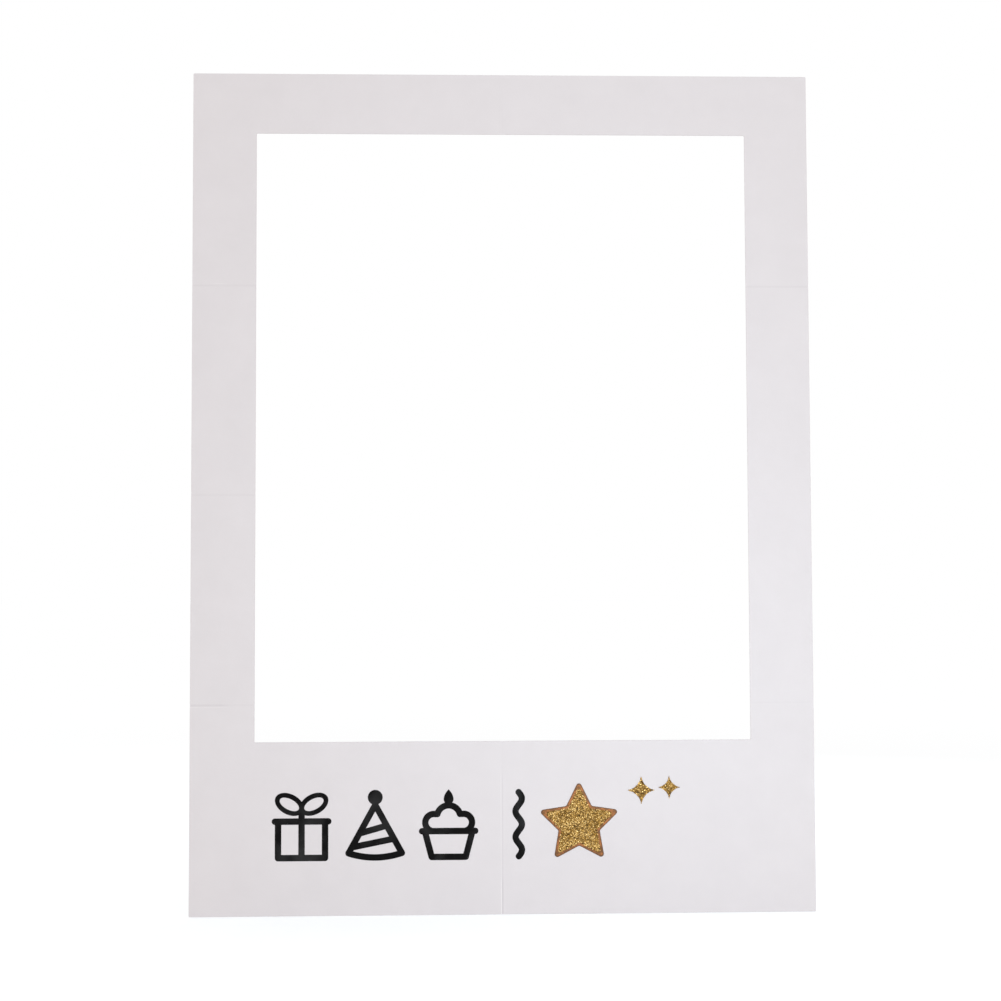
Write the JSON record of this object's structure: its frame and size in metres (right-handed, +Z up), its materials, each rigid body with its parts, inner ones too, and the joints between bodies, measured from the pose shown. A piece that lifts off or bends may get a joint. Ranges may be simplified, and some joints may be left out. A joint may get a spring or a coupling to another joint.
{
  "type": "photo booth frame",
  "caption": "Folding white card picture frame for guests to pose in, with a large window, wide bottom border and party motifs in black foil and gold glitter.",
  "frame": {"origin": "middle of the bottom edge, halfway through the card", "axes": "+Z up the frame to its top border, +X to the right as seen from the printed face, -Y out of the printed face towards the camera"},
  "size_m": [0.59, 0.001, 0.8],
  "materials": {
    "card": "satin",
    "crease": "matte",
    "black_foil": "gloss",
    "copper_foil": "gloss",
    "gold_glitter": "satin"
  },
  "bodies": {
    "top_left": {"top_left_panel": "card", "book_fold_crease_top_left": "crease", "upper_fold_crease_left": "crease"},
    "upper_left": {"upper_left_panel": "card", "middle_fold_crease_left": "crease"},
    "lower_left": {"lower_left_panel": "card", "lower_fold_crease_left": "crease"},
    "bottom_left": {"bottom_left_panel": "card", "book_fold_crease_bottom": "crease", "gift_box_motif": "black_foil", "party_hat_motif": "black_foil", "cupcake_motif": "black_foil"},
    "bottom_right": {"bottom_right_panel": "card", "lower_fold_crease_right": "crease", "streamer_motif": "black_foil", "star_rim": "copper_foil", "star_glitter": "gold_glitter", "near_sparkle": "gold_glitter", "far_sparkle": "gold_glitter"},
    "lower_right": {"lower_right_panel": "card", "middle_fold_crease_right": "crease"},
    "upper_right": {"upper_right_panel": "card", "upper_fold_crease_right": "crease"},
    "top_right": {"top_right_panel": "card", "book_fold_crease_top_right": "crease"}
  },
  "joints": [
    {"name": "upper_fold", "type": "hinge", "parent": "top_left", "child": "upper_left", "pos_m": [0, 0.00035, 0.596], "axis": [1, 0, 0], "range_deg": [0, 180], "deforming": ["upper_fold_crease_left"]},
    {"name": "middle_fold", "type": "hinge", "parent": "upper_left", "child": "lower_left", "pos_m": [0, -0.0007, 0.396], "axis": [-1, 0, 0], "range_deg": [0, 180], "deforming": ["middle_fold_crease_left"]},
    {"name": "lower_fold", "type": "hinge", "parent": "lower_left", "child": "bottom_left", "pos_m": [0, -0.00035, 0.196], "axis": [-1, 0, 0], "range_deg": [0, 180], "deforming": ["lower_fold_crease_left"]},
    {"name": "book_fold", "type": "hinge", "parent": "bottom_left", "child": "bottom_right", "pos_m": [0, 0.00175, 0.081], "axis": [0, 0, 1], "range_deg": [0, 180], "deforming": ["book_fold_crease_bottom"]},
    {"name": "lower_fold_right", "type": "hinge", "parent": "bottom_right", "child": "lower_right", "pos_m": [0, -0.00035, 0.196], "axis": [1, 0, 0], "range_deg": [0, 180], "deforming": ["lower_fold_crease_right"]},
    {"name": "middle_fold_right", "type": "hinge", "parent": "lower_right", "child": "upper_right", "pos_m": [0, -0.0007, 0.396], "axis": [1, 0, 0], "range_deg": [0, 180], "deforming": ["middle_fold_crease_right"]},
    {"name": "upper_fold_right", "type": "hinge", "parent": "upper_right", "child": "top_right", "pos_m": [0, 0.00035, 0.596], "axis": [-1, 0, 0], "range_deg": [0, 180], "deforming": ["upper_fold_crease_right"]}
  ],
  "couplings": [
    {"joint": "upper_fold_right", "follows": "upper_fold", "ratio": 1},
    {"joint": "middle_fold_right", "follows": "middle_fold", "ratio": 1},
    {"joint": "lower_fold_right", "follows": "lower_fold", "ratio": 1}
  ]
}
